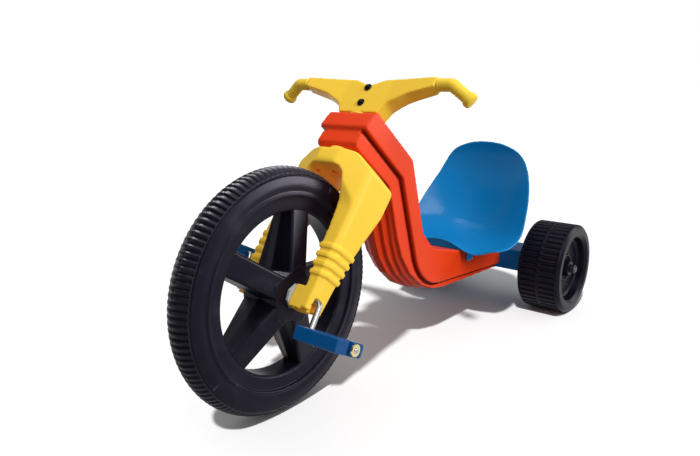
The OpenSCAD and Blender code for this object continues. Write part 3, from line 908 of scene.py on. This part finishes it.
class TRICYCLE_OT_seat(Operator):
    """Blue bucket seat with its side tabs and the block it sits on"""

    bl_idname = "tricycle.seat"
    bl_label = "Seat"
    lip_reach = 0.046
    lip_rise = 0.015
    deck_height = REAR_R + 0.025

    def lip_wall(self, bm):
        """Wall that closes the arch under the front lip, down to just above the deck."""
        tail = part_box("frame_shell")[0].x
        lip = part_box("seat")[1].x
        slope = DECK_AHEAD.z / DECK_AHEAD.x
        reach = self.lip_reach
        clear = 0.0006
        sill = 0.002
        back = lip - 0.030
        front = lip - 0.009
        steps = 12
        arch = [(reach * k / steps, sill + self.lip_rise * math.cos(math.pi * k / steps / 2) ** 2)
                for k in range(-steps, steps + 1)]
        outline = arch + [(reach, clear), (-reach, clear)]

        def place(y, up, x):
            return Vector((x, y, self.deck_height + (x - tail) * slope + up))

        prism(bm, outline, back, front, place)

    def execute(self, context):
        bm = node_copy("seat")
        self.lip_wall(bm)
        mesh = fused(bm, "seat", cell=0.0020, rounds=8)
        piece("seat_shell", mesh, "seat", "blue_plastic", blue_plastic, "seat")
        return {"FINISHED"}


class TRICYCLE_OT_axle_housing(Operator):
    """Dark blue cross piece that carries the rear axle"""

    bl_idname = "tricycle.axle_housing"
    bl_label = "Axle housing"

    def execute(self, context):
        mesh = fused(node_copy("axle_housing"), "axle_housing", cell=0.0018, rounds=3)
        piece("axle_cross", mesh, "frame", "blue_plastic", deep_blue_plastic, "axle_housing")
        return {"FINISHED"}


class TRICYCLE_OT_fittings(Operator):
    """Finishes of the small fittings that keep their own shape"""

    bl_idname = "tricycle.fittings"
    bl_label = "Fittings"
    wear = {
        bush_nylon: ("hub_bushings",),
        yellow_plastic: ("head_bushes",),
        zinc_steel: ("housing_screws", "rear_axle", "axle_washers", "handlebar_nuts", "left_axle_cap",
                     "right_axle_cap"),
        ring_metal: ("left_pedal_ring", "right_pedal_ring"),
        bolt_black: ("handlebar_bolts",),
    }

    def execute(self, context):
        for maker, nodes in self.wear.items():
            for node in nodes:
                mesh = frame["nodes"][node].data
                mesh.materials.clear()
                mesh.materials.append(finish(maker))
        return {"FINISHED"}


class TRICYCLE_OT_stage(Operator):
    """White floor, soft lights and the camera"""

    bl_idname = "tricycle.stage"
    bl_label = "Stage"
    # Each lamp's name, place, width and power in watts
    lamps = (
        ("side", (0.5, 2.6, 1.9), 1.4, 64),
        ("front", (0.8, 0.3, 3.0), 1.2, 20),
        ("top", (-0.2, -0.6, 2.8), 1.4, 12),
        ("sheen", (-2.2, 1.9, 1.0), 1.6, 34))
    wheel_lamps = (
        ("wheel sheen", (-0.9, 1.2, 0.55), 0.6, 24),
        ("tread sheen", (0.0, -1.1, 1.8), 0.8, 60))
    lamp_aim = (0, 0, 0.25)
    sun_place = (0.65, 0.30, 1.0)

    def prop(self, name, bm, material):
        """Thing of the studio, which isn't part of the tricycle."""
        mesh = to_mesh(bm, name)
        mesh.materials.append(material)
        made = linked(name, mesh)
        return made

    def floor(self, colours):
        """White floor, greyer in the light that it throws back at the tricycle."""
        paint = Paint(bpy.data.materials.new("floor white"))
        seen = paint.ray("Is Camera Ray") + paint.ray("Is Glossy Ray") + paint.ray("Is Transmission Ray")
        cloud = paint.noise(scale=1.5, detail=2.0)
        tone = paint.mix(cloud, linear(colours.floor), toned(colours.floor, 1.02))
        material = paint.done(**{
            "Base Color": paint.mix(seen, toned(colours.floor, 0.55), tone),
            "Roughness": 0.9,
            "Specular IOR Level": 0.0,
        })
        bm = bmesh.new()
        bmesh.ops.create_grid(bm, x_segments=1, y_segments=1, size=40.0)
        return self.prop("studio_floor", bm, material)

    def flag(self):
        """Black card ahead, unseen by the camera, that shades the faces turned forward."""
        ahead = HUB.x + 1.6
        half = 2.5
        low = 0.35
        high = 1.4
        bm = bmesh.new()
        corners = [(ahead, -half, low), (ahead, half, low), (ahead, half, high), (ahead, -half, high)]
        bm.faces.new([bm.verts.new(corner) for corner in corners])
        paint = Paint(bpy.data.materials.new("flag black"))
        weave = paint.noise(scale=300.0, detail=2.0)
        cloth = paint.mix(weave, (0, 0, 0, 1), (0.02, 0.02, 0.02, 1))
        made = self.prop("studio_flag", bm, paint.done(**{"Base Color": cloth}))
        made.visible_camera = False
        return made

    def aimed(self, light, place, aim):
        """Light that stands at a place and points at another."""
        made = linked(light.name, light)
        made.location = place
        made.rotation_euler = (Vector(aim) - Vector(place)).to_track_quat("-Z", "Y").to_euler()
        return made

    def group(self, name, items, state):
        """Collection that has a light reach only these items, or all but them."""
        made = bpy.data.collections.new(name)
        for item in items:
            made.objects.link(item)
        for entry in made.collection_objects:
            entry.light_linking.link_state = state
        return made

    def lamp(self, name, place, size, power, items, state):
        """Soft lamp aimed at the tricycle, which lights only these items or leaves them alone."""
        light = bpy.data.lights.new(name, "AREA")
        light.shape = "DISK"
        light.size = size
        light.energy = power
        made = self.aimed(light, place, self.lamp_aim)
        made.light_linking.receiver_collection = self.group(name + " reach", items, state)

    def shadow(self, floor, spared):
        """Sun that lights only the floor, and lays the shadow of all but the spared things on it."""
        light = bpy.data.lights.new("shadow sun", "SUN")
        light.energy = 3.0
        light.angle = math.radians(3)
        made = self.aimed(light, self.sun_place, (0, 0, 0))
        made.light_linking.receiver_collection = self.group("shadow reach", [floor], "INCLUDE")
        made.light_linking.blocker_collection = self.group("shadow spares", spared, "EXCLUDE")

    def sky(self):
        """World that is white to the eye and lights the tricycle at a lower level."""
        world = bpy.data.worlds.new("studio")
        bpy.context.scene.world = world
        paint = Paint(world, "Background")
        level = 0.40
        strengths = {"Is Glossy Ray": 0.35, "Is Transmission Ray": 1.0, "Is Camera Ray": 1.0}
        for kind, strength in strengths.items():
            ray = paint.ray(kind)
            level = level * (1.0 - ray) + strength * ray
        paint.done(Color=(1, 1, 1, 1), Strength=level)

    def camera(self):
        """Camera that sees the tricycle as the photograph does."""
        from_hub = Vector((0.674, 0.701, 0.3298))
        forward = Vector((-0.7545, -0.6158, -0.2270))
        data = bpy.data.cameras.new("photo")
        data.sensor_fit = "HORIZONTAL"
        data.sensor_width = 36.0
        data.lens = 32.25
        made = linked("photo_camera", data)
        made.location = HUB + from_hub
        made.rotation_euler = forward.to_track_quat("-Z", "Y").to_euler()
        bpy.context.scene.camera = made

    def execute(self, context):
        objects = bpy.data.objects
        floor = self.floor(context.scene.tricycle_colours)
        for lamp in self.lamps:
            self.lamp(*lamp, [floor], "EXCLUDE")
        wheel = [objects["front_tyre"], objects["front_spokes"]]
        for lamp in self.wheel_lamps:
            self.lamp(*lamp, wheel, "INCLUDE")
        near_pedal = [objects["left_pedal_block"], objects["left_pedal_ring"], objects["crank_rod"]]
        self.shadow(floor, near_pedal + [self.flag()])
        self.sky()
        self.camera()
        context.scene.view_settings.view_transform = "Standard"
        return {"FINISHED"}


STEPS = (
    TRICYCLE_OT_frame, TRICYCLE_OT_fork, TRICYCLE_OT_handlebar, TRICYCLE_OT_grips,
    TRICYCLE_OT_front_wheel, TRICYCLE_OT_rear_wheels, TRICYCLE_OT_crank, TRICYCLE_OT_pedals,
    TRICYCLE_OT_seat, TRICYCLE_OT_axle_housing, TRICYCLE_OT_fittings, TRICYCLE_OT_stage)


class TRICYCLE_PT_panel(Panel):
    """Lists the steps that dress the tricycle"""

    bl_idname = "TRICYCLE_PT_panel"
    bl_label = "Low rider tricycle"
    bl_space_type = "VIEW_3D"
    bl_region_type = "UI"
    bl_category = "Tricycle"

    def draw(self, context):
        for group in (context.scene.tricycle_sizes, context.scene.tricycle_colours):
            for name in group.__annotations__:
                self.layout.prop(group, name)
        for step in STEPS:
            self.layout.operator(step.bl_idname)


CLASSES = (TricycleSizes, TricycleColours) + STEPS + (TRICYCLE_PT_panel,)


def register():
    for made in CLASSES:
        bpy.utils.register_class(made)
    bpy.types.Scene.tricycle_sizes = PointerProperty(type=TricycleSizes)
    bpy.types.Scene.tricycle_colours = PointerProperty(type=TricycleColours)


def unregister():
    del bpy.types.Scene.tricycle_colours
    del bpy.types.Scene.tricycle_sizes
    for made in reversed(CLASSES):
        bpy.utils.unregister_class(made)


def main():
    register()
    for step in STEPS:
        group, name = step.bl_idname.split(".")
        getattr(getattr(bpy.ops, group), name)()


if __name__ == "__main__":
    main()
